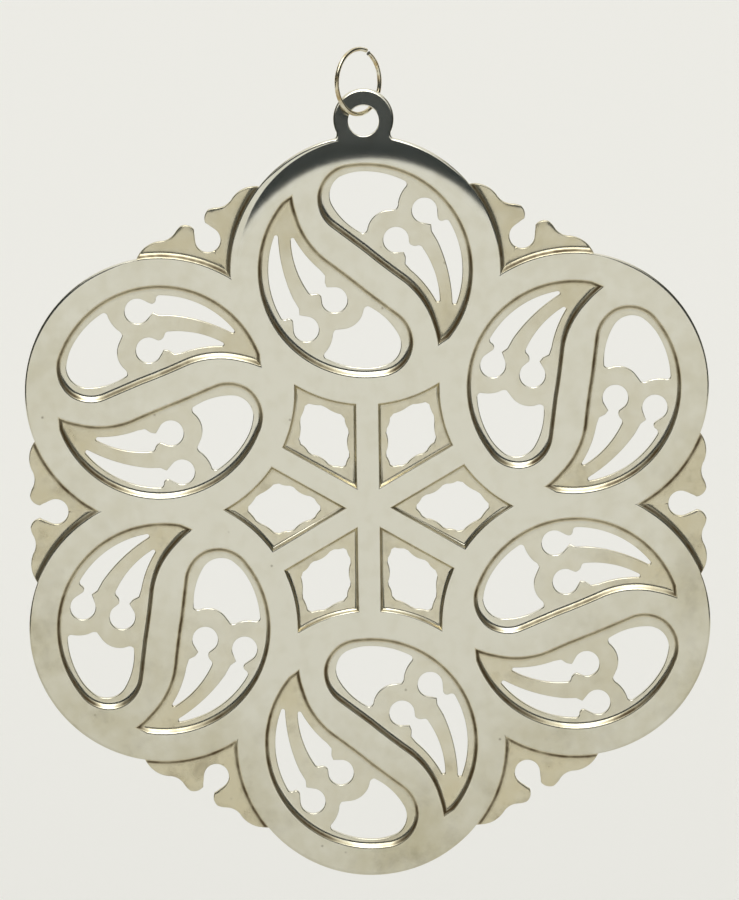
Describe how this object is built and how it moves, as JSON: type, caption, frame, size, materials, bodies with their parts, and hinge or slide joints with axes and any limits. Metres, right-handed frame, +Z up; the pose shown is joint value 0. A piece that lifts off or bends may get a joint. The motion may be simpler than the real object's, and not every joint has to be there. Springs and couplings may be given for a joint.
{
  "type": "hanging snowflake ornament",
  "caption": "Flat pierced metal snowflake with round lobes of swirling Gothic tracery, a round tab at the top and an open jump ring to hang it by.",
  "frame": {"origin": "on the inside of the jump ring's top, where a hook or a thread carries the ornament", "axes": "+Z up, -Y out of the plate's decorated face, +X to the right of someone who looks at that face"},
  "size_m": [0.0761, 0.0059, 0.0929],
  "materials": {
    "silver_plate": "silver plate over brass, polished bands, satin sunk panels with faint warm tarnish and fine scratches",
    "silver_plated_wire": "bright silver-plated round wire, slightly yellowed"
  },
  "bodies": {
    "ring": {"jump_ring": "silver_plated_wire"},
    "plate": {"snowflake_plate": "silver_plate"}
  },
  "joints": [
    {"name": "plate_swing", "type": "hinge", "parent": "ring", "child": "plate", "pos_m": [0.00045, 0.0003, -0.00765], "axis": [0, 1, 0], "range_deg": [-100, 100]}
  ]
}
